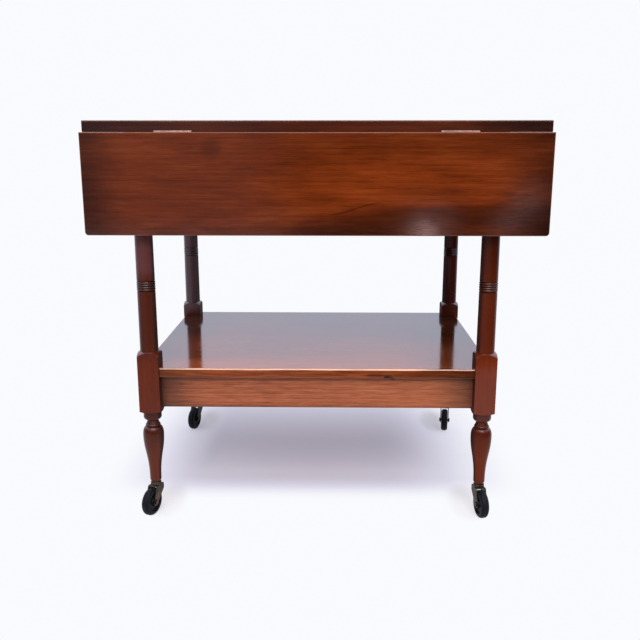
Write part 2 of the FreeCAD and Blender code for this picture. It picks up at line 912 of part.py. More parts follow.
def caster_stem():
    """Stem riveted to the crown of the horn, with the collar that it swivels on."""
    collar = Part.makeCylinder(stem_collar_radius, stem_collar_height, at(0, crown_top))
    collar = round_edges(collar, stem_collar_round, lambda p: near(p.z, collar_top))
    shaft = Part.makeCylinder(stem_radius, caster_height + stem_length - collar_top, at(0, collar_top))
    shaft = round_edges(shaft, stem_tip_round, lambda p: near(p.z, caster_height + stem_length))
    neck = Part.makeCylinder(stem_radius, horn_sheet, at(0, crown_underside))
    foot_low = crown_underside - stem_foot_thickness
    foot = Part.makeCylinder(stem_foot_radius, stem_foot_thickness, at(0, foot_low))
    return collar.fuse([shaft, neck, foot]).removeSplitter()


def horn_arm(inner, outer):
    """One cheek of the horn: it hangs straight at the back, then narrows to the axle eye."""
    drop = crown_underside - horn_cheek_drop
    eye = FreeCAD.Vector(inner, -caster_trail, wheel_radius)
    middle = (horn_crown_back - horn_crown_front) / 2
    along = FreeCAD.Vector(0, middle, crown_underside) - FreeCAD.Vector(0, eye.y, eye.z)
    along.normalize()
    side = X_AXIS.cross(along) * horn_eye_radius
    points = [eye + side, eye - side]
    points.append(FreeCAD.Vector(inner, horn_crown_back, drop))
    points.append(FreeCAD.Vector(inner, horn_crown_back, crown_top))
    points.append(FreeCAD.Vector(inner, -horn_crown_front, crown_top))
    points.append(FreeCAD.Vector(inner, -horn_crown_front, crown_underside))
    cheek = prism(points, X_AXIS * (outer - inner))
    cheek = round_edges(cheek, horn_cheek_round, lambda p: near(p.y, horn_crown_back) and near(p.z, drop))
    end = Part.makeCylinder(horn_eye_radius, outer - inner, eye, X_AXIS)
    return cheek.fuse(end).removeSplitter()


def horn_inner():
    return wheel_width / 2 + horn_wheel_gap


def caster_horn():
    """Stamped horn: a crown plate bent down into two cheeks beside the wheel."""
    inner = horn_inner()
    outer = inner + horn_sheet
    crown = box(-outer, outer, -horn_crown_front, horn_crown_back, crown_underside, crown_top)
    horn = crown.fuse([horn_arm(inner, outer), horn_arm(-outer, -inner)]).removeSplitter()
    horn = round_edges(horn, horn_bend_radius, lambda p: near(p.z, crown_top))
    axle_hole = axle_line(axle_radius + axle_fit_clearance, outer)
    stem_hole = Part.makeCylinder(stem_radius, horn_sheet, at(0, crown_underside))
    return horn.cut([axle_hole, stem_hole])


def axle_line(radius, half_length):
    left = FreeCAD.Vector(-half_length, -caster_trail, wheel_radius)
    right = FreeCAD.Vector(half_length, -caster_trail, wheel_radius)
    return rod(radius, left, right)


def caster_axle():
    """Rivet through both cheeks and the wheel."""
    outer = horn_inner() + horn_sheet
    end = FreeCAD.Vector(outer, -caster_trail, wheel_radius)
    head = rod(axle_head_radius, end, end + X_AXIS * axle_head_thickness)
    return axle_line(axle_radius, outer).fuse([head, mirror_x(head)]).removeSplitter()


def caster_wheel():
    """Solid moulded wheel with rounded tread, dished faces and a hub as wide as the tread."""
    half = wheel_width / 2
    tread_half = half - wheel_shoulder_radius
    side_radius = wheel_radius - wheel_shoulder_radius
    rim_radius = wheel_radius - wheel_rim_thickness
    bore = axle_radius + wheel_bore_clearance
    dish = half - wheel_web_recess
    round_part = wheel_shoulder_radius * math.sqrt(0.5)
    right = [
        (half, bore), (half, wheel_hub_radius - wheel_dish_step), (dish, wheel_hub_radius),
        (dish, rim_radius - wheel_dish_step), (half, rim_radius), (half, side_radius),
    ]
    points = [FreeCAD.Vector(x, 0, r) for x, r in right]
    edges = [line(a, b) for a, b in zip(points, points[1:])]
    tread = FreeCAD.Vector(tread_half, 0, wheel_radius)
    bulge = FreeCAD.Vector(tread_half + round_part, 0, side_radius + round_part)
    edges.append(arc(points[-1], bulge, tread))
    edges.append(line(tread, FreeCAD.Vector(-tread.x, 0, tread.z)))
    edges.append(arc(FreeCAD.Vector(-tread.x, 0, tread.z), FreeCAD.Vector(-bulge.x, 0, bulge.z),
                     FreeCAD.Vector(-points[-1].x, 0, points[-1].z)))
    flipped = [FreeCAD.Vector(-p.x, 0, p.z) for p in reversed(points)]
    edges.extend(line(a, b) for a, b in zip(flipped, flipped[1:]))
    edges.append(line(flipped[-1], points[0]))
    wheel = Part.Face(Part.Wire(edges)).revolve(ORIGIN, X_AXIS, 360)
    return wheel.translated(FreeCAD.Vector(0, -caster_trail, wheel_radius))


def corner_points():
    return {
        "front_left": FreeCAD.Vector(-leg_x, -leg_y, 0),
        "front_right": FreeCAD.Vector(leg_x, -leg_y, 0),
        "rear_left": FreeCAD.Vector(-leg_x, leg_y, 0),
        "rear_right": FreeCAD.Vector(leg_x, leg_y, 0),
    }


def casters():
    """Four casters, each swivelled to its own angle under its leg."""
    pieces = {"stem": caster_stem(), "horn": caster_horn(), "axle": caster_axle(), "wheel": caster_wheel()}
    socket = caster_socket()
    made = {}
    sockets = []
    for corner, place in corner_points().items():
        sockets.append(socket.translated(place))
        for name, shape in pieces.items():
            turned = shape.copy()
            turned.rotate(ORIGIN, Z_AXIS, caster_yaw[corner])
            made["caster_" + corner + "_" + name] = turned.translated(place)
    made["caster_sockets"] = Part.makeCompound(sockets)
    return made


def all_pieces():
    """Every node of the trolley by name."""
    made = {"top_panel": top_panel(), "front_leaf": front_leaf(), "lower_shelf": lower_shelf()}
    made["rear_leaf"] = turn_half(made["front_leaf"])
    for corner, leg in legs().items():
        made[corner + "_leg"] = leg
    made.update(rails())
    made["top_corner_blocks"] = corner_blocks(top_underside)
    made["shelf_corner_blocks"] = corner_blocks(shelf_bottom)
    made["corner_block_screws"] = corner_screws()
    made.update(hinges())
    made["hinge_pins"] = hinge_pins()
    made["top_hinge_screws"] = top_hinge_screws()
    made["front_leaf_screws"] = front_leaf_screws()
    made["rear_leaf_screws"] = turn_half(made["front_leaf_screws"])
    made.update(stays())
    made.update(casters())
    return made


os.makedirs("parts", exist_ok=True)
for node, piece in all_pieces().items():
    piece.exportStep("parts/" + node + ".step")
    solids = len(piece.Solids)
    print(node, "solids", solids, "valid", piece.isValid(), "volume", round(piece.Volume))
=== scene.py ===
# %% [markdown]
# # Drop leaf tea trolley
# The trolley comes from a CAD model as a set of fixed pieces: boards, turned legs, hinges, stays
# and casters. They are never moved here. This lesson sets up the photograph's view, lights it like
# a white studio, and gives every piece the finish of the real one: stained wood, plain steel,
# browned metal and hard black rubber.

# %% Load the frame
import json
import math

import bpy
import numpy as np
from mathutils import Matrix, Vector


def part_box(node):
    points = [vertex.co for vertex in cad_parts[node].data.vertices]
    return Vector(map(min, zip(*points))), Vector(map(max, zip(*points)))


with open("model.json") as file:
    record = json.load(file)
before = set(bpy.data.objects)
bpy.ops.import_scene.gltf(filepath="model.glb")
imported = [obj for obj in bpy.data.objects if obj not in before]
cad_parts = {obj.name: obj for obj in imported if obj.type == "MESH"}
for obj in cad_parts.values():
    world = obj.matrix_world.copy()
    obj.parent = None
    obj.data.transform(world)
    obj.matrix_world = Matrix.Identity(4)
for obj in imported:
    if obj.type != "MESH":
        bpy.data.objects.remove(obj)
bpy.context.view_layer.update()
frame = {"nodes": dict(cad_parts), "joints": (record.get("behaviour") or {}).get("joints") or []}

wheel_joints = [joint for joint in frame["joints"] if joint["name"].endswith("_roll")]

# %% [markdown]
# ## The camera
# The photograph was taken from the front, a little to the right of the middle, from about the
# height of the table top and looking slightly down. A camera in Blender looks along its own -Z,
# so its turn is built from three unit vectors: right, up and back.

# %% Camera at the photograph's place
camera_place = Vector((0.0280, -1.5479, 0.6746))
camera_yaw = 0.0167
camera_pitch = 0.2269
focal_pixels = 769.8
picture_pixels = 640
sensor_millimetres = 36.0


def look(yaw, pitch):
    """Turn matrix from a yaw to the left and a pitch downwards, both in radians."""
    forward = Vector((
        -math.sin(yaw) * math.cos(pitch),
        math.cos(yaw) * math.cos(pitch),
        -math.sin(pitch),
    ))
    right = Vector((math.cos(yaw), math.sin(yaw), 0.0))
    up = right.cross(forward)
    return Matrix((right, up, -forward)).transposed().to_4x4()


camera_data = bpy.data.cameras.new("photo_camera")
camera_data.sensor_width = sensor_millimetres
camera_data.lens = focal_pixels / picture_pixels * sensor_millimetres
camera = bpy.data.objects.new("photo_camera", camera_data)
camera.matrix_world = Matrix.Translation(camera_place) @ look(camera_yaw, camera_pitch)
bpy.context.scene.collection.objects.link(camera)
bpy.context.scene.camera = camera
bpy.context.scene.view_settings.view_transform = "Standard"
print("lens", round(camera_data.lens, 2), "mm")

# %% [markdown]
# ## Small helpers for shader nodes
# Every finish below is a graph of shader nodes. A few short functions that add one node and hand
# back its output keep those graphs readable: they read from the inside out, like a formula.

# %% Nodes and arithmetic


def add(tree, kind, **settings):
    """Adds one node of a kind and sets its properties by name."""
    made = tree.nodes.new("ShaderNode" + kind)
    for name, value in settings.items():
        setattr(made, name, value)
    return made


def feed(tree, socket, value):
    """Puts a number, a colour or another node's output into a socket."""
    if isinstance(value, bpy.types.NodeSocket):
        tree.links.new(value, socket)
    else:
        socket.default_value = value


def calc(tree, operation, first, second=0.0, third=0.0):
    """One step of arithmetic on numbers."""
    made = add(tree, "Math", operation=operation)
    for socket, value in zip(made.inputs, (first, second, third)):
        feed(tree, socket, value)
    return made.outputs[0]


def total(tree, *terms):
    """Weighted sum of outputs, given as pairs of an output and its weight."""
    result = 0.0
    for value, weight in terms:
        result = calc(tree, "MULTIPLY_ADD", value, weight, result)
    return result


def product(tree, first, *others):
    """Product of two or more outputs."""
    for other in others:
        first = calc(tree, "MULTIPLY", first, other)
    return first


def spread(tree, value, low, high, start=0.0, end=1.0):
    """Smoothly carries a value from the range low to high onto start to end."""
    made = add(tree, "MapRange", interpolation_type="SMOOTHSTEP")
    for socket, number in zip(made.inputs, (value, low, high, start, end)):
        feed(tree, socket, number)
    return made.outputs[0]


# %% Colours, places and patterns


def colour(red, green, blue):
    """Full colour from its red, green and blue."""
    return (red, green, blue, 1.0)


def blend_colours(tree, share, first, second):
    """Mixes two colours by a share from 0 to 1; this node's colours come after its numbers."""
    made = add(tree, "Mix", data_type="RGBA")
    feed(tree, made.inputs[0], share)
    feed(tree, made.inputs[6], first)
    feed(tree, made.inputs[7], second)
    return made.outputs[2]


def dim(tree, shade, amount):
    """Multiplies a colour by a number."""
    made = add(tree, "VectorMath", operation="SCALE")
    feed(tree, made.inputs[0], shade)
    feed(tree, made.inputs["Scale"], amount)
    return made.outputs[0]


def axes_of(tree, point):
    """The three coordinates of a point by letter."""
    made = add(tree, "SeparateXYZ")
    tree.links.new(point, made.inputs[0])
    return {letter: made.outputs[letter] for letter in "XYZ"}


def own_place(tree):
    """Place on a piece, in its object's own coordinates."""
    return add(tree, "TexCoord").outputs["Object"]


def facing(tree):
    """The way that a surface faces, as three coordinates by letter."""
    return axes_of(tree, add(tree, "TexCoord").outputs["Normal"])


def stretched(tree, point, stretch, place=(0.0, 0.0, 0.0)):
    """Moves and stretches a point before a pattern reads it."""
    made = add(tree, "Mapping")
    feed(tree, made.inputs["Vector"], point)
    made.inputs["Scale"].default_value = stretch
    made.inputs["Location"].default_value = place
    return made.outputs[0]


def noise(tree, point, scale, detail, rough):
    """Soft random value from 0 to 1 over space."""
    made = add(tree, "TexNoise")
    feed(tree, made.inputs["Vector"], point)
    made.inputs["Scale"].default_value = scale
    made.inputs["Detail"].default_value = detail
    made.inputs["Roughness"].default_value = rough
    return made.outputs["Fac"]


def oval_squares(tree, parts, letters, place, reach):
    """Squared distance from a place on two axes, counted in reaches: 1 on the rim of an oval."""
    squares = 0.0
    for letter, middle, half in zip(letters, place, reach):
        side = calc(tree, "DIVIDE", calc(tree, "SUBTRACT", parts[letter], middle), half)
        squares = calc(tree, "MULTIPLY_ADD", side, side, squares)
    return squares


# %% Shaders and finishes


def mix_shaders(tree, share, first, second):
    """Shows the first shader where a share is 0 and the second where it is 1."""
    made = add(tree, "MixShader")
    for socket, output in zip(made.inputs, (share, first, second)):
        tree.links.new(output, socket)
    return made.outputs[0]


def relief(tree, shader, height, strength, distance):
    """Bump on a shader from a height."""
    made = add(tree, "Bump")
    made.inputs["Strength"].default_value = strength
    made.inputs["Distance"].default_value = distance
    tree.links.new(height, made.inputs["Height"])
    tree.links.new(made.outputs[0], shader.inputs["Normal"])


def new_finish(name):
    """New material with one surface shader."""
    made = bpy.data.materials.new(name)
    made.use_nodes = True
    tree = made.node_tree
    return made, tree, tree.nodes["Principled BSDF"]


def dress(node, finish):
    """Gives a CAD piece a finish in place of the plain one that it came with."""
    materials = frame["nodes"][node].data.materials
    materials.clear()
    materials.append(finish)


# %% [markdown]
# ## The studio
# The trolley stands on a white sweep: a sheet that runs under it and curves up behind. Here the
# floor is a round sheet that turns into plain white further out, so that no edge shows. Only in a
# patch under the trolley, with soft sides given by numbers, does it show its real shade, lifted
# there by a painted lavender glow; small painted spots at the wheels' rest places show the shade
# under each wheel with painted shade round it. The sheet ends in front of the trolley, and the
# room behind the camera is dim, which is why the hanging leaf looks deep while the shelf shines.

# %% Floor sheet
floor_reach = 1.30
floor_back = 0.25
floor_rings = 24
floor_spokes = 96
paper_white = colour(0.950, 0.960, 0.985)
paper_tones = (colour(0.935, 0.905, 0.965), colour(0.955, 0.925, 0.985))
paper_rough = 0.9
paper_polish = 0.1

# Scale, detail and roughness of the paper's fibres
fibre_pattern = (900.0, 3.0, 0.55)

# Axis, outer end and inner end of each soft side of the painted shadow patch: left, right, front
# and back
shadow_sides = [
    ("X", -0.45, -0.22),
    ("X", 0.44, 0.13),
    ("Y", -0.178, -0.060),
    ("Y", 0.72, 0.15),
]
# Share of white glow left inside the patch, and the lavender tint of that painted glow on the shade
shadow_lift = 0.22
shadow_tint = colour(0.80, 0.80, 1.08)
# Painted spot at each wheel's rest place: its shift inwards and back, reach, rim and least share of
# white
contact_inwards = 0.018
contact_back = 0.060
contact_reach = (0.036, 0.078)
contact_rim = 1.3
contact_shade = 0.52


def disc_sheet(name, reach, back, rings, spokes):
    """Round sheet at z = 0, its middle moved back: radius = reach times u, angle = 2 pi times v."""
    share = np.linspace(0.0, 1.0, rings + 1)[1:]
    angle = np.arange(spokes) * 2.0 * np.pi / spokes
    u, v = np.meshgrid(share, angle, indexing="ij")
    x = reach * u * np.cos(v)
    y = back + reach * u * np.sin(v)
    points = np.stack([x, y, np.zeros_like(u)], -1)
    points = np.concatenate([[[0.0, back, 0.0]], points.reshape(-1, 3)])
    ring = np.arange(spokes)
    after = np.roll(ring, -1)
    middle = np.stack([np.zeros(spokes, int), 1 + ring, 1 + after], -1)
    base = 1 + np.arange(rings - 1)[:, None] * spokes
    outer = base + spokes
    quads = np.stack([base + ring, outer + ring, outer + after, base + after], -1)
    mesh = bpy.data.meshes.new(name)
    mesh.from_pydata(points, [], middle.tolist() + quads.reshape(-1, 4).tolist())
    made = bpy.data.objects.new(name, mesh)
    bpy.context.scene.collection.objects.link(made)
    return made


def seen_straight(tree):
    """1 for rays that look at, mirror or pass to a surface; 0 for rays that only light it."""
    path = add(tree, "LightPath").outputs
    seen = calc(tree, "MAXIMUM", path["Is Camera Ray"], path["Is Glossy Ray"])
    return calc(tree, "MAXIMUM", seen, path["Is Transmission Ray"])


def painted_shadow_patch(tree, parts):
    """1 in the middle of the painted shadow patch under the trolley, falling to 0 at its four soft
    sides.
    """
    sides = [spread(tree, parts[letter], outer, inner) for letter, outer, inner in shadow_sides]
    return product(tree, *sides)


def wheel_contact(tree, parts):
    """1 away from the wheels, falling off in a painted spot of shade where each wheel stands at
    rest and its small shadow lies.
    """
    spots = []
    for joint in wheel_joints:
        x, y = joint["pos_m"][:2]
        place = (x - math.copysign(contact_inwards, x), y + contact_back)
        squares = oval_squares(tree, parts, "XY", place, contact_reach)
        spots.append(spread(tree, squares, 0.0, contact_rim, contact_shade, 1.0))
    return product(tree, *spots)


def paper_finish():
    """White paper that shows its real shade in a painted patch under the trolley, lifted by a
    painted lavender glow, and plain white outside it.
    """
    made, tree, shader = new_finish("white_paper")
    point = own_place(tree)
    parts = axes_of(tree, point)
    fibre = noise(tree, point, *fibre_pattern)
    feed(tree, shader.inputs["Base Color"], blend_colours(tree, fibre, *paper_tones))
    shader.inputs["Roughness"].default_value = paper_rough
    shader.inputs["Specular IOR Level"].default_value = paper_polish
    shadow = painted_shadow_patch(tree, parts)
    glow = add(tree, "Emission")
    feed(tree, glow.inputs["Color"], blend_colours(tree, shadow, paper_white, shadow_tint))
    white = calc(tree, "MULTIPLY_ADD", shadow, shadow_lift - 1.0, 1.0)
    share = product(tree, white, wheel_contact(tree, parts), seen_straight(tree))
    mixed = mix_shaders(tree, share, shader.outputs[0], glow.outputs[0])
    tree.links.new(mixed, tree.nodes["Material Output"].inputs["Surface"])
    return made


floor = disc_sheet("floor", floor_reach, floor_back, floor_rings, floor_spokes)
floor.data.materials.append(paper_finish())
print("floor", len(floor.data.vertices), "points")

# %% [markdown]
# The world round the trolley lights it evenly. What the polish mirrors is another matter: pale
# paper behind and above, a dim room low in front, a paler patch low on the left, and a few small
# warm reflectors low on the right that leave milky patches on the leaf.

# %% Room light and lamps
room_light = 0.50
room_tone = colour(0.96, 0.975, 1.0)
mirror_tone = colour(0.79, 0.825, 1.0)
room_dim = 0.02
left_glow = 1.8
paper_low = 1.26
paper_high = 1.58
front_haze = 0.26
left_haze = 0.22

# Ranges of a mirrored direction's X, Y or Z over which the room changes
front_range = (0.50, -0.20)
low_range = (0.50, 0.15)
left_range = (0.10, -0.22)
glow_start = (-0.115, -0.150)
glow_end = (-0.16, -0.22)
paper_range = (0.20, 0.29)
front_haze_range = (0.0, 0.05)
left_haze_range = (-0.02, -0.14)

# Direction, reach in degrees and strength of each reflector
reflector_tone = colour(1.30, 0.86, 0.86)
reflectors = [
    ((0.1165, -0.9874, -0.1158), 1.10, 7.5),
    ((0.1325, -0.9868, -0.1015), 2.20, 0.5),
    ((0.2474, -0.9667, -0.0648), 1.60, 0.7),
    ((0.2328, -0.9692, -0.0830), 1.50, 0.6),
    ((0.2169, -0.9713, -0.1070), 1.50, 0.9),
]

# Name, place, width and depth, and watts of each lamp
lamp_aim = (0.0, 0.0, 0.3)
lamps = [
    ("top_lamp", (-0.1, -1.1, 2.7), (1.8, 0.7), 27.0),
    ("front_lamp", (0.1, -2.1, 1.75), (1.9, 0.8), 30.0),
]


def reflector_glow(tree, way):
    """Sum of soft round spots: each is bright where a direction comes near its own."""
    glow = 0.0
    for aim, degrees, strength in reflectors:
        near = add(tree, "VectorMath", operation="DOT_PRODUCT")
        tree.links.new(way, near.inputs[0])
        near.inputs[1].default_value = Vector(aim).normalized()
        edge = math.cos(math.radians(degrees))
        spot = spread(tree, near.outputs["Value"], edge, 1.0, 0.0, strength)
        glow = calc(tree, "ADD", spot, glow)
    return glow


def mirrored_room(tree, way):
    """Brightness of the room that the polish sees in each direction."""
    front = spread(tree, way["Y"], *front_range)
    low = spread(tree, way["Z"], *low_range)
    dark = calc(tree, "MULTIPLY", front, low)
    left = spread(tree, way["X"], *left_range)
    starting = spread(tree, way["Z"], *glow_start)
    ending = spread(tree, way["Z"], *glow_end, left_glow, 0.0)
    glow = product(tree, dark, left, starting, ending)
    paper = spread(tree, way["Z"], *paper_range, paper_low, paper_high)
    haze = spread(tree, way["Z"], *front_haze_range, room_dim, front_haze)
    haze = calc(tree, "ADD", haze, spread(tree, way["X"], *left_haze_range, 0.0, left_haze))
    room = spread(tree, dark, 0.0, 1.0, paper, haze)
    return calc(tree, "ADD", room, glow)


def background(tree, tone, strength):
    """Light of one tone, with a strength that may vary by direction."""
    made = add(tree, "Background")
    made.inputs["Color"].default_value = tone
    feed(tree, made.inputs["Strength"], strength)
    return made.outputs[0]


def studio_world():
    """Plain white for the camera, an even light for surfaces and the mirrored room for polish."""
    world = bpy.data.worlds.new("studio")
    world.use_nodes = True
    bpy.context.scene.world = world
    tree = world.node_tree
    tree.nodes.remove(tree.nodes["Background"])
    direction = add(tree, "TexCoord").outputs["Generated"]
    even = background(tree, room_tone, room_light)
    white = background(tree, paper_white, 1.0)
    room = background(tree, mirror_tone, mirrored_room(tree, axes_of(tree, direction)))
    spots = background(tree, reflector_tone, reflector_glow(tree, direction))
    mirror = add(tree, "AddShader")
    tree.links.new(room, mirror.inputs[0])
    tree.links.new(spots, mirror.inputs[1])
    path = add(tree, "LightPath").outputs
    polished = mix_shaders(tree, path["Is Glossy Ray"], even, mirror.outputs[0])
    straight = calc(tree, "MAXIMUM", path["Is Camera Ray"], path["Is Transmission Ray"])
    seen = mix_shaders(tree, straight, polished, white)
    tree.links.new(seen, tree.nodes["World Output"].inputs["Surface"])


def soft_lamp(name, place, aim, size, watts):
    """Large lamp at a place, turned to shine at a point."""
    data = bpy.data.lights.new(name, "AREA")
    data.shape = "RECTANGLE"
    data.size, data.size_y = size
    data.energy = watts
    made = bpy.data.objects.new(name, data)
    made.location = place
    made.rotation_euler = (Vector(aim) - Vector(place)).to_track_quat("-Z", "Y").to_euler()
    bpy.context.scene.collection.objects.link(made)


studio_world()
for name, place, size, watts in lamps:
    soft_lamp(name, place, lamp_aim, size, watts)
print("lamps", len(lamps), "reflectors", len(reflectors))

# %% [markdown]
# ## Stained wood
# A board is cut from a log, so its figure is a slice through rings round the log's axis. The
# pattern is made in grain space: two directions across the grain and one along it. Rings, long
# streaks, short mottle, uneven stain and fine pores add up to one tone, and a colour ramp turns
# the tone into the stain's colours. Each board has its own place in the log, so no two match.

# %% Wood pattern
ring_spacing = 0.009
ring_stretch = (1.0, 1.0, 0.06)
ring_settings = {
    "Scale": 2.0 * math.pi / 20.0 / ring_spacing,
    "Distortion": 7.0,
    "Detail": 3.0,
    "Detail Scale": 0.30,
    "Detail Roughness": 0.6,
}

# Stretch along the grain, scale, detail and roughness of each pattern
mottle_noise = (0.20, 48.0, 5.0, 0.65)
blotch_noise = (0.40, 8.0, 2.0, 0.5)
fibre_noise = (0.04, 700.0, 2.0, 0.6)
pore_noise = (0.03, 1300.0, 1.0, 0.5)
pore_range = (0.60, 0.74)
pore_shade = 0.40
streak_stretch = 0.065
line_stretch = 0.035
line_fineness = 2.1
line_range = (0.56, 0.72)
ramp_places = (0.12, 0.50, 0.92)
wood_relief = 0.0004


def grain_space(tree, point, along):
    """Point with its axis along the grain put last."""
    parts = axes_of(tree, point)
    order = {"X": "YZX", "Y": "XZY", "Z": "XYZ"}[along]
    made = add(tree, "CombineXYZ")
    for socket, letter in zip(made.inputs, order):
        tree.links.new(parts[letter], socket)
    return made.outputs[0]


def growth_rings(tree, grain, heart):
    """Saw-toothed rings round a log axis whose heart lies off the board, slowly wandering."""
    made = add(tree, "TexWave", wave_type="RINGS", rings_direction="Z", wave_profile="SAW")
    tree.links.new(stretched(tree, grain, ring_stretch, heart), made.inputs["Vector"])
    for name, value in ring_settings.items():
        made.inputs[name].default_value = value
    return made.outputs["Fac"]


def grain_noise(tree, grain, heart, stretch, scale, detail, rough):
    """Noise that is drawn out along the grain."""
    return noise(tree, stretched(tree, grain, (1.0, 1.0, stretch), heart), scale, detail, rough)


def wood_tone(tree, grain, heart, figure):
    """Tone of the wood, about one half in the middle, with the patterns that add up to it."""
    patterns = {
        "rings": growth_rings(tree, grain, heart),
        "streaks": grain_noise(tree, grain, heart, streak_stretch, figure["scale"], 5.0, 0.65),
        "mottle": grain_noise(tree, grain, heart, *mottle_noise),
        "blotch": grain_noise(tree, grain, heart, *blotch_noise),
        "fibres": grain_noise(tree, grain, heart, *fibre_noise),
    }
    tone = total(tree, *((patterns[name], figure[name]) for name in patterns))
    middle = sum(figure[name] for name in patterns) / 2.0
    return calc(tree, "SUBTRACT", tone, middle - 0.5), patterns


def toned(tree, tone, tones):
    """Colour ramp through the dark, main and light colours of a stain."""
    made = add(tree, "ValToRGB")
    tree.links.new(tone, made.inputs[0])
    first, last = made.color_ramp.elements
    first.position, first.color = ramp_places[0], tones[0]
    last.position, last.color = ramp_places[2], tones[2]
    made.color_ramp.elements.new(ramp_places[1]).color = tones[1]
    return made.outputs[0]


# %% Shades and marks on wood


def inset(wood, side):
    """Distance from one side of a piece's box, such as "x-" for its low end along X."""
    number = "xyz".index(side[0])
    place = wood["parts"][side[0].upper()]
    if side[1] == "-":
        return calc(wood["tree"], "SUBTRACT", place, wood["low"][number])
    return calc(wood["tree"], "SUBTRACT", wood["high"][number], place)


def edge_inset(wood, first, second):
    """Distance from the edge where two sides of a piece's box meet."""
    return calc(wood["tree"], "MAXIMUM", inset(wood, first), inset(wood, second))


def rims(wood, sides):
    """Darkening towards a board's sides, each with a reach and a darkest shade; on some sides it is
    painted shade.
    """
    tree, shade = wood["tree"], 1.0
    for side, reach, darkest in sides:
        start = calc(tree, "SUBTRACT", inset(wood, side), 0.5 * reach)
        uneven = calc(tree, "MULTIPLY_ADD", wood["drift"], reach, start)
        rim = spread(tree, uneven, -0.1 * reach, reach, darkest, 1.0)
        shade = calc(tree, "MULTIPLY", rim, shade)
    return shade


def recolour(wood, shade):
    """Makes a colour the finish's colour so far."""
    wood["shade"] = shade
    feed(wood["tree"], wood["shader"].inputs["Base Color"], shade)


def darken(wood, amount):
    """Multiplies a wooden finish by a shade that varies over it."""
    recolour(wood, dim(wood["tree"], wood["shade"], amount))


def shade_where(wood, share, inside, outside=1.0):
    """Multiplies a wooden finish by one shade where a share is 1 and by another where it is 0."""
    darken(wood, spread(wood["tree"], share, 0.0, 1.0, outside, inside))


def tint(wood, share, tone):
    """Lays another tone over a wooden finish where a share says so."""
    recolour(wood, blend_colours(wood["tree"], share, wood["shade"], tone))


def painted_edge_highlight(wood, first, second, width, tone, most):
    """Painted highlight: a lighter line along the edge where two sides meet, broken by the drift of
    the polish.
    """
    tree = wood["tree"]
    reach = calc(tree, "ADD", edge_inset(wood, first, second), 0.6 * width)
    uneven = calc(tree, "MULTIPLY_ADD", wood["drift"], -1.2 * width, reach)
    tint(wood, spread(tree, uneven, width, 0.45 * width, 0.0, most), tone)


def dull_edge(wood, first, second, width, polish, dull):
    """Takes the gloss off the edge where two sides meet."""
    reach = edge_inset(wood, first, second)
    gloss = spread(wood["tree"], reach, width, 0.6 * width, polish, dull)
    feed(wood["tree"], wood["shader"].inputs["Specular IOR Level"], gloss)


def oval(wood, place, reach):
    """1 in the middle of an oval on a front face, falling softly and unevenly to 0 outside it."""
    tree = wood["tree"]
    squares = oval_squares(tree, wood["parts"], "XZ", place, reach)
    uneven = calc(tree, "MULTIPLY_ADD", wood["drift"], -0.9, calc(tree, "ADD", squares, 0.45))
    return spread(tree, uneven, 1.4, -0.2)


def stained_wood(node, along, tones, sides, rough, polish, figure):
    """Finish of one wooden piece, as a set of its material, its nodes and its colour so far."""
    made, tree, shader = new_finish(node + "_wood")
    low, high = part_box(node)
    point = own_place(tree)
    grain = grain_space(tree, point, along)
    seed = sum(ord(letter) * (number + 1) for number, letter in enumerate(node)) % 97
    heart = (0.10 + 0.0007 * seed, 0.17 - 0.0011 * seed, 0.05 * seed)
    tone, patterns = wood_tone(tree, grain, heart, figure)
    pores = grain_noise(tree, grain, heart, *pore_noise)
    pores = spread(tree, pores, *pore_range, 0.0, pore_shade)
    line_scale = line_fineness * figure["scale"]
    lines = grain_noise(tree, grain, heart, line_stretch, line_scale, 3.0, 0.5)
    lines = spread(tree, lines, *line_range, 0.0, figure["lines"])
    drift = total(tree, (patterns["blotch"], 0.6), (patterns["mottle"], 0.4))
    wood = {"finish": made, "tree": tree, "shader": shader, "low": low, "high": high}
    wood["point"], wood["parts"], wood["drift"] = point, axes_of(tree, point), drift
    mark = calc(tree, "MAXIMUM", pores, lines)
    recolour(wood, blend_colours(tree, mark, toned(tree, tone, tones), tones[0]))
    if sides:
        darken(wood, rims(wood, sides))
    wood["rough"] = spread(tree, drift, 0.3, 0.7, 0.75 * rough, 1.35 * rough)
    feed(tree, shader.inputs["Roughness"], wood["rough"])
    shader.inputs["Specular IOR Level"].default_value = polish
    height = total(tree, (patterns["streaks"], 0.4), (pores, -1.0))
    relief(tree, shader, height, figure["relief"], wood_relief)
    return wood


# %% Stain colours and figures

# Dark grain, main tone and light grain of each stain
stains = {
    "leaf": (
        colour(0.058, 0.0088, 0.0012), colour(0.140, 0.0222, 0.0034), colour(0.230, 0.046, 0.0080),
    ),
    "leg": (
        colour(0.070, 0.0085, 0.0012), colour(0.140, 0.0180, 0.0027), colour(0.200, 0.031, 0.0055),
    ),
    "shelf": (
        colour(0.132, 0.0265, 0.0057), colour(0.325, 0.0670, 0.0155), colour(0.480, 0.120, 0.034),
    ),
    "rail": (
        colour(0.165, 0.0330, 0.0105), colour(0.370, 0.0940, 0.0320), colour(0.530, 0.162, 0.064),
    ),
    "bare": (
        colour(0.33, 0.20, 0.095), colour(0.47, 0.315, 0.17), colour(0.58, 0.42, 0.25),
    ),
}
# Tones of the painted highlights along the edges of the shelf and of the other boards
highlight_tone = colour(0.80, 0.44, 0.30)
edge_highlight_tone = colour(0.26, 0.100, 0.058)

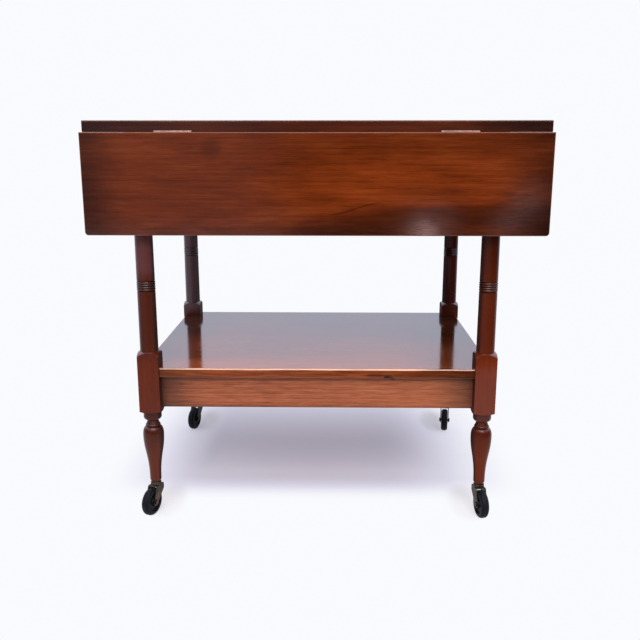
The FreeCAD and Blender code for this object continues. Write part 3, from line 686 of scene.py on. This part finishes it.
# Weight of each pattern, scale of the streaks, and strength of the dark lines and the relief
even_figure = {
    "rings": 0.12, "streaks": 0.38, "mottle": 0.70, "blotch": 0.60, "fibres": 0.42,
    "scale": 240.0, "lines": 0.34, "relief": 0.05,
}
quiet_figure = {
    "rings": 0.06, "streaks": 0.34, "mottle": 0.30, "blotch": 0.45, "fibres": 0.24,
    "scale": 200.0, "lines": 0.26, "relief": 0.08,
}
strong_figure = {
    "rings": 0.24, "streaks": 0.60, "mottle": 0.30, "blotch": 0.46, "fibres": 1.00,
    "scale": 520.0, "lines": 0.48, "relief": 0.25,
}
print("stains", len(stains))

# %% [markdown]
# ## Boards, rails and legs
# The fixed top and the leaves are one colour and the shelf with its rails is a lighter, more
# orange wood. Grain runs along each piece: along X on the long boards, along Y on the end rails
# and up the legs. Each piece names the sides towards which its tone darkens. At the back of the
# shelf, the top of each rail and the lower edge of each leaf this is painted shade.

# %% Dress the boards and rails
board_polish = 0.5

# Side, reach and darkest shade: painted shade on the shelf's back (y+) under the fixed top, on the
# rails' tops (z+) under the boards above them and on the leaves' lower edge (z-); towards the other
# sides the tone just darkens.
top_sides = [("y-", 0.014, 0.48), ("y+", 0.014, 0.48), ("x-", 0.30, 0.26), ("x+", 0.26, 0.22)]
leaf_sides = [("x-", 0.085, 0.34), ("x+", 0.100, 0.40), ("z-", 0.034, 0.58)]
shelf_sides = [("x-", 0.13, 0.30), ("x+", 0.22, 0.30), ("y-", 0.003, 0.70), ("y+", 0.46, 0.34)]
rail_sides = [("z+", 0.014, 0.40), ("z-", 0.010, 0.65)]
long_rail_sides = [("x-", 0.090, 0.18), ("x+", 0.120, 0.34)] + rail_sides
end_rail_sides = [("y-", 0.055, 0.40), ("y+", 0.050, 0.45)] + rail_sides

# Piece, way of the grain, stain, sides, roughness, polish and figure
wooden_pieces = [
    ("top_panel", "X", "leaf", top_sides, 0.13, board_polish, even_figure),
    ("front_leaf", "X", "leaf", leaf_sides, 0.09, board_polish, even_figure),
    ("rear_leaf", "X", "leaf", leaf_sides, 0.09, board_polish, even_figure),
    ("lower_shelf", "X", "shelf", shelf_sides, 0.095, board_polish, quiet_figure),
]
rails = [
    ("front", "X", long_rail_sides),
    ("rear", "X", long_rail_sides),
    ("left", "Y", end_rail_sides),
    ("right", "Y", end_rail_sides),
]
for place, along, sides in rails:
    wooden_pieces += [
        (place + "_shelf_rail", along, "rail", sides, 0.34, 0.40, strong_figure),
        (place + "_top_rail", along, "leg", sides, 0.40, 0.30, quiet_figure),
    ]
woods = {}
for node, along, stain, sides, rough, polish, figure in wooden_pieces:
    woods[node] = stained_wood(node, along, stains[stain], sides, rough, polish, figure)
    dress(node, woods[node]["finish"])
print("boards and rails", len(wooden_pieces))

# %% [markdown]
# ## Marks on the boards
# Real boards have a history. A darker band climbs along the lower right of the front leaf, with
# one fine curved line above it and a small cloudy knot near its top left, and painted light
# brightens its middle and its low right edge. The edges of the boards carry a painted highlight,
# a lighter line that is palest along the front edge of the shelf, and a knot lies just under it.

# %% Darker band, knot and painted light of the front leaf
band_climb = (-0.11, 0.16)
band_heights = (0.533, 0.5725)
band_drift = 0.012
band_crisping = (0.05, 0.19)
band_softness = (0.030, 0.010)
band_beginning = (-0.20, 0.05)
band_shade = 0.42
curve_along = (0.020, 0.110)
curve_heights = (0.557, 0.577)
curve_beginning = (0.010, 0.035)
curve_end = (0.125, 0.090)
curve_width = (0.0024, 0.0004)
curve_shade = 0.64

# Place, reach, shade inside and shade outside: the knot, a painted highlight over the middle, and
# painted light along the low right edge
leaf_ovals = [
    ((-0.172, 0.664), (0.021, 0.020), 0.70, 1.00),
    ((0.150, 0.602), (0.26, 0.062), 1.36, 0.87),
    ((0.255, 0.520), (0.15, 0.031), 1.90, 1.00),
]


def low_right_band(wood):
    """Share of the darker band: below a line that climbs from left to right, crisper on the right.
    """
    tree, parts = wood["tree"], wood["parts"]
    climb = spread(tree, parts["X"], *band_climb, *band_heights)
    below = calc(tree, "SUBTRACT", climb, parts["Z"])
    below = calc(tree, "SUBTRACT", below, band_drift / 2.0)
    uneven = calc(tree, "MULTIPLY_ADD", wood["drift"], band_drift, below)
    soft = spread(tree, parts["X"], *band_crisping, *band_softness)
    share = spread(tree, uneven, calc(tree, "MULTIPLY", soft, -1.0), soft)
    return calc(tree, "MULTIPLY", share, spread(tree, parts["X"], *band_beginning))


def grain_curve(wood):
    """Thin line that climbs in an S between two places of the leaf."""
    tree, parts = wood["tree"], wood["parts"]
    line = spread(tree, parts["X"], *curve_along, *curve_heights)
    away = calc(tree, "ABSOLUTE", calc(tree, "SUBTRACT", parts["Z"], line))
    beginning = spread(tree, parts["X"], *curve_beginning)
    end = spread(tree, parts["X"], *curve_end)
    return product(tree, spread(tree, away, *curve_width), beginning, end)


leaf = woods["front_leaf"]
shade_where(leaf, low_right_band(leaf), band_shade)
shade_where(leaf, grain_curve(leaf), curve_shade)
for place, reach, inside, outside in leaf_ovals:
    shade_where(leaf, oval(leaf, place, reach), inside, outside)
print("front leaf nodes", len(leaf["tree"].nodes))

# %% Painted edge highlights
edge_highlight_width = 0.0022
highlight_width = 0.0030
dull_width = 0.0040
dull_polish = 0.12

# Sides that meet the outer face of a leaf, and the most of the painted highlight on each edge
leaf_edges = [("z+", 0.6), ("z-", 0.3), ("x-", 0.3), ("x+", 0.3)]

# Outer sides of the fixed top and the shelf, and the most of the painted highlight on each edge of
# the top and of the shelf
flat_edges = [("y-", 0.5, 1.0), ("y+", 0.5, 0.5), ("x-", 0.5, 0.5), ("x+", 0.5, 0.5)]

for node, outside in (("front_leaf", "y-"), ("rear_leaf", "y+")):
    for side, most in leaf_edges:
        painted_edge_highlight(woods[node], outside, side, edge_highlight_width, edge_highlight_tone, most)
    dull_edge(woods[node], outside, "z+", dull_width, board_polish, dull_polish)
for outside, rubbed, worn in flat_edges:
    painted_edge_highlight(woods["top_panel"], outside, "z+", edge_highlight_width, edge_highlight_tone, rubbed)
    painted_edge_highlight(woods["lower_shelf"], outside, "z+", highlight_width, highlight_tone, worn)
print("rubbed edges", 2 * len(leaf_edges) + 2 * len(flat_edges))

# %% Streaks and knot of the shelf's front edge
edge_stretch = (0.05, 1.0, 1.0)
edge_pattern = (300.0, 4.0, 0.65)
edge_range = (0.34, 0.62)
edge_shades = (0.58, 1.20)
edge_left = (-0.285, -0.175)
edge_left_shade = 0.50

# Place, reach and darkest shade of the knot, its streak and its three specks
knot_marks = [
    ((0.128, 0.2665), (0.010, 0.0060), 0.30),
    ((0.104, 0.2705), (0.024, 0.0025), 0.30),
    ((0.124, 0.2674), (0.0065, 0.0028), 0.22),
    ((0.133, 0.2655), (0.0060, 0.0022), 0.45),
    ((0.137, 0.2600), (0.0065, 0.0028), 0.25),
]

shelf = woods["lower_shelf"]
shelf_tree = shelf["tree"]
streaks = noise(shelf_tree, stretched(shelf_tree, shelf["point"], edge_stretch), *edge_pattern)
streaks = spread(shelf_tree, streaks, *edge_range, *edge_shades)
shade_where(shelf, spread(shelf_tree, inset(shelf, "y-"), 0.0035, 0.0015), streaks)
# The painted highlight along the shelf's front edge is dimmed towards its left end
left_end = spread(shelf_tree, shelf["parts"]["X"], *edge_left, edge_left_shade, 1.0)
shade_where(shelf, spread(shelf_tree, edge_inset(shelf, "y-", "z+"), 0.005, 0.003), left_end)
for node in ("lower_shelf", "front_shelf_rail"):
    wood = woods[node]
    for place, reach, darkest in knot_marks:
        front = spread(wood["tree"], inset(wood, "y-"), 0.018, 0.003)
        shade_where(wood, product(wood["tree"], oval(wood, place, reach), front), darkest)
print("marks of the knot", len(knot_marks))

# %% [markdown]
# Each leg is turned from one square blank. Its grooves between the reeds are darker, so the shade
# also follows the distance to the nearest groove, found by folding the height back and forth with a
# ping-pong step. The leg's other hollows and the faces that look under the trolley get painted
# shade; each leg also gets its own painted shade on its front and painted shade and light on its
# post, for how much light reaches it. Shoulders that face up are rubbed to a shine, and three of
# the legs carry a painted milky sheen, a painted reflection, on their fronts.

# %% Grooves, painted shade, shine and painted sheen of the legs
reed_low = 0.4213
reed_high = 0.4377
reed_pitch = 0.0041
groove_shade = 0.12
nook_reach = 0.008
nook_shade = 0.24
inside_shade = 0.40
inside_dulling = 0.5
shoulder_slope = (0.30, 0.75)
shoulder_polish = 1.0
foot_polish = 0.50
foot_shades = (0.92, 0.55)
sheen_fade = 0.03

# Heights between which the leg passes from one part to the next
vase_to_neck = (0.110, 0.165)
foot_to_block = (0.1935, 0.2015)
foot_to_shoulder = (0.185, 0.200)
block_to_post = (0.285, 0.33)
post_to_top = (0.38, 0.52)


def groove_darkening(wood):
    """Darkening at each groove between the reeds, none above and below them."""
    tree, height = wood["tree"], wood["parts"]["Z"]
    groove = calc(tree, "PINGPONG", calc(tree, "SUBTRACT", height, reed_low), reed_pitch / 2.0)
    wax = spread(tree, groove, 0.0003, 0.0017, groove_shade, 1.0)
    under = calc(tree, "SUBTRACT", reed_low, height)
    away = calc(tree, "MAXIMUM", under, calc(tree, "SUBTRACT", height, reed_high))
    return calc(tree, "MAXIMUM", wax, spread(tree, away, 0.0008, 0.0020))


def painted_nook_shade(wood):
    """Painted shade in the leg's own hollows, from how much a point sees around it."""
    seen = add(wood["tree"], "AmbientOcclusion", samples=8, only_local=True)
    seen.inputs["Distance"].default_value = nook_reach
    return spread(wood["tree"], seen.outputs["AO"], 0.35, 0.85, nook_shade, 1.0)


def leg_shade(wood, post_shade, top_shade):
    """Shade by height: painted shade and light on the post, set leg by leg, darker than its block,
    and a foot that is darkest at its neck.
    """
    tree, height = wood["tree"], wood["parts"]["Z"]
    post = spread(tree, height, *block_to_post, 1.0, post_shade)
    upper = spread(tree, height, *post_to_top, 1.0, top_shade)
    foot = spread(tree, height, *vase_to_neck, *foot_shades)
    foot = calc(tree, "MAXIMUM", foot, spread(tree, height, *foot_to_block))
    return product(tree, post, upper, foot)


def painted_front_shade(wood, front, outer):
    """Painted shade by facing: one on the front of a leg, for the light that it gets, and another
    on its back.
    """
    return spread(wood["tree"], facing(wood["tree"])["Y"], -0.2, 0.6, front, outer)


def shade_and_dull_inside(wood, way):
    """Painted shade on the faces that look under the trolley: darker and without gloss."""
    tree = wood["tree"]
    inside = spread(tree, calc(tree, "MULTIPLY", facing(tree)["X"], way), 0.55, 0.95)
    shade_where(wood, inside, inside_shade)
    rough = calc(tree, "MULTIPLY_ADD", inside, inside_dulling, wood["rough"])
    feed(tree, wood["shader"].inputs["Roughness"], rough)


def shoulder_shine(wood, polish):
    """Gloss by slope: shoulders that face up are rubbed brighter than the upright sides."""
    tree = wood["tree"]
    most = spread(tree, wood["parts"]["Z"], *foot_to_shoulder, foot_polish, shoulder_polish)
    gloss = spread(tree, facing(tree)["Z"], *shoulder_slope, polish, most)
    feed(tree, wood["shader"].inputs["Specular IOR Level"], gloss)


def painted_sheen(wood, low, high, most, tone):
    """Painted milky sheen, a painted reflection, on the front of a leg between two heights."""
    tree, height = wood["tree"], wood["parts"]["Z"]
    front = spread(tree, facing(tree)["Y"], 0.0, -0.7)
    above = spread(tree, height, low, low + sheen_fade)
    below = spread(tree, height, high + sheen_fade, high)
    tint(wood, product(tree, above, below, front, most), tone)


# %% Dress the legs
leg_rough = 0.26
back_shade = 0.92

# Painted shades of the front, the post and the post's top, set leg by leg for the light each gets,
# and the polish
leg_shades_and_polish = {
    "front_left_leg": (0.76, 0.58, 1.10, 0.25),
    "front_right_leg": (1.06, 0.60, 0.62, 0.15),
    "rear_left_leg": (0.70, 0.62, 0.95, 0.36),
    "rear_right_leg": (0.52, 0.76, 0.60, 0.18),
}

# Lowest and highest place of the painted sheen, the most of it, and its tone
leg_painted_sheens = {
    "front_left_leg": (0.435, 0.70, 0.13, colour(0.40, 0.18, 0.21)),
    "front_right_leg": (0.17, 0.27, 0.06, colour(0.40, 0.25, 0.25)),
    "rear_left_leg": (0.28, 0.70, 0.19, colour(0.36, 0.30, 0.40)),
}
for node, (front, post_shade, top_shade, polish) in leg_shades_and_polish.items():
    wood = stained_wood(node, "Z", stains["leg"], [], leg_rough, polish, quiet_figure)
    darken(wood, groove_darkening(wood))
    darken(wood, painted_nook_shade(wood))
    darken(wood, leg_shade(wood, post_shade, top_shade))
    darken(wood, painted_front_shade(wood, front, back_shade))
    shade_and_dull_inside(wood, 1.0 if "left" in node else -1.0)
    shoulder_shine(wood, polish)
    if node in leg_painted_sheens:
        painted_sheen(wood, *leg_painted_sheens[node])
    dress(node, wood["finish"])
print("legs", len(leg_shades_and_polish), "with bloom", len(leg_painted_sheens))

# %% [markdown]
# ## Corner blocks
# The glue blocks inside the frame were never stained. They are sawn softwood: pale, rough and dull.

# %% Dress the corner blocks
block_rough = 0.75
block_polish = 0.3
corner_blocks = ("top_corner_blocks", "shelf_corner_blocks")
for node in corner_blocks:
    wood = stained_wood(node, "Z", stains["bare"], [], block_rough, block_polish, strong_figure)
    dress(node, wood["finish"])
print("sets of corner blocks", len(corner_blocks))

# %% [markdown]
# ## Steel, browned metal and rubber
# The hinge plates, screws and stays are plain steel, a little dull from age. The casters have a
# brown bronze finish that has worn through in places; the rear casters take a darker copy of it,
# painted shade. The wheels are hard black rubber that picks up dust, with a painted sheen on
# their moulding rings.

# %% Metal and rubber finishes
scratched_along = (0.03, 1.0, 1.0)
scratched_up = (1.0, 1.0, 0.1)
ring_step = 0.0017
rubber_black = colour(0.0040, 0.0042, 0.0060)
# Colour of the dust and of the painted sheen on the moulding rings
rubber_dust_and_sheen = colour(0.0120, 0.0125, 0.0185)
rubber_rough = (0.42, 0.58)
rubber_polish = 0.10

# Scale, detail and roughness of each pattern
cloud_pattern = (60.0, 4.0, 0.6)
scratch_pattern = (900.0, 2.0, 0.5)
dust_pattern = (130.0, 5.0, 0.65)
grit_pattern = (1800.0, 2.0, 0.5)


def worn_metal(name, dark, bright, rough, streak):
    """Metal whose tone drifts between two colours, with fine scratches in its gloss."""
    made, tree, shader = new_finish(name)
    point = own_place(tree)
    cloud = noise(tree, point, *cloud_pattern)
    scratch = noise(tree, stretched(tree, point, streak), *scratch_pattern)
    tone = total(tree, (cloud, 0.75), (scratch, 0.35))
    shade = blend_colours(tree, spread(tree, tone, 0.3, 0.8), dark, bright)
    feed(tree, shader.inputs["Base Color"], shade)
    gloss = spread(tree, tone, 0.2, 0.9, rough + 0.12, rough - 0.08)
    feed(tree, shader.inputs["Roughness"], gloss)
    shader.inputs["Metallic"].default_value = 1.0
    relief(tree, shader, tone, 0.15, 0.0002)
    return made


def black_rubber(name, hub, axle):
    """Hard black rubber with faint moulding rings that follow the distance from the axle, dust in
    soft patches and a painted sheen on the rings.
    """
    made, tree, shader = new_finish(name)
    point = own_place(tree)
    away = add(tree, "VectorMath", operation="CROSS_PRODUCT")
    from_hub = stretched(tree, point, (1.0, 1.0, 1.0), [-value for value in hub])
    tree.links.new(from_hub, away.inputs[0])
    away.inputs[1].default_value = axle
    radius = add(tree, "VectorMath", operation="LENGTH")
    tree.links.new(away.outputs[0], radius.inputs[0])
    fold = calc(tree, "PINGPONG", radius.outputs["Value"], ring_step)
    ring = spread(tree, fold, 0.2 * ring_step, ring_step)
    bloom = noise(tree, point, *dust_pattern)
    grit = noise(tree, point, *grit_pattern)
    # Dust in soft patches, and a painted sheen where the moulding rings lie
    dust_and_ring_sheen = total(tree, (spread(tree, bloom, 0.42, 0.80), 0.65), (ring, 0.35))
    shade = blend_colours(tree, dust_and_ring_sheen, rubber_black, rubber_dust_and_sheen)
    feed(tree, shader.inputs["Base Color"], shade)
    feed(tree, shader.inputs["Roughness"], spread(tree, bloom, 0.3, 0.7, *rubber_rough))
    shader.inputs["Specular IOR Level"].default_value = rubber_polish
    relief(tree, shader, total(tree, (ring, 1.0), (grit, 0.5)), 0.25, 0.0003)
    return made


# %% Dress the metal

# Dark tone, bright tone, roughness and way of the scratches of each metal
metal_looks = {
    "hinge_metal": (
        colour(0.16, 0.092, 0.072), colour(0.29, 0.177, 0.145), 0.50, scratched_along,
    ),
    "stay_steel": (
        colour(0.30, 0.22, 0.18), colour(0.52, 0.41, 0.36), 0.38, scratched_along,
    ),
    "browned_metal": (
        colour(0.020, 0.0140, 0.0110), colour(0.112, 0.078, 0.058), 0.42, scratched_up,
    ),
    # Darker copy of the browned metal for the rear casters: painted shade
    "blackened_metal": (
        colour(0.008, 0.0068, 0.0062), colour(0.034, 0.028, 0.024), 0.46, scratched_up,
    ),
}
metals = {name: worn_metal(name, *looks) for name, looks in metal_looks.items()}
# The rear casters take the darker copy of the browned metal: painted shade
for node in frame["nodes"]:
    if node.startswith("caster_") and not node.endswith("wheel"):
        dress(node, metals["blackened_metal" if "rear" in node else "browned_metal"])
    elif node.startswith("hinge_") or node == "top_hinge_screws":
        dress(node, metals["hinge_metal"])
    elif "screws" in node or "stay" in node:
        dress(node, metals["stay_steel"])
print("metal finishes", len(metals))

# %% Dress the wheels
for joint in wheel_joints:
    node = joint["name"].replace("_roll", "_wheel")
    dress(node, black_rubber(node + "_rubber", joint["pos_m"], joint["axis"]))
    print(node, "rings round", joint["pos_m"])
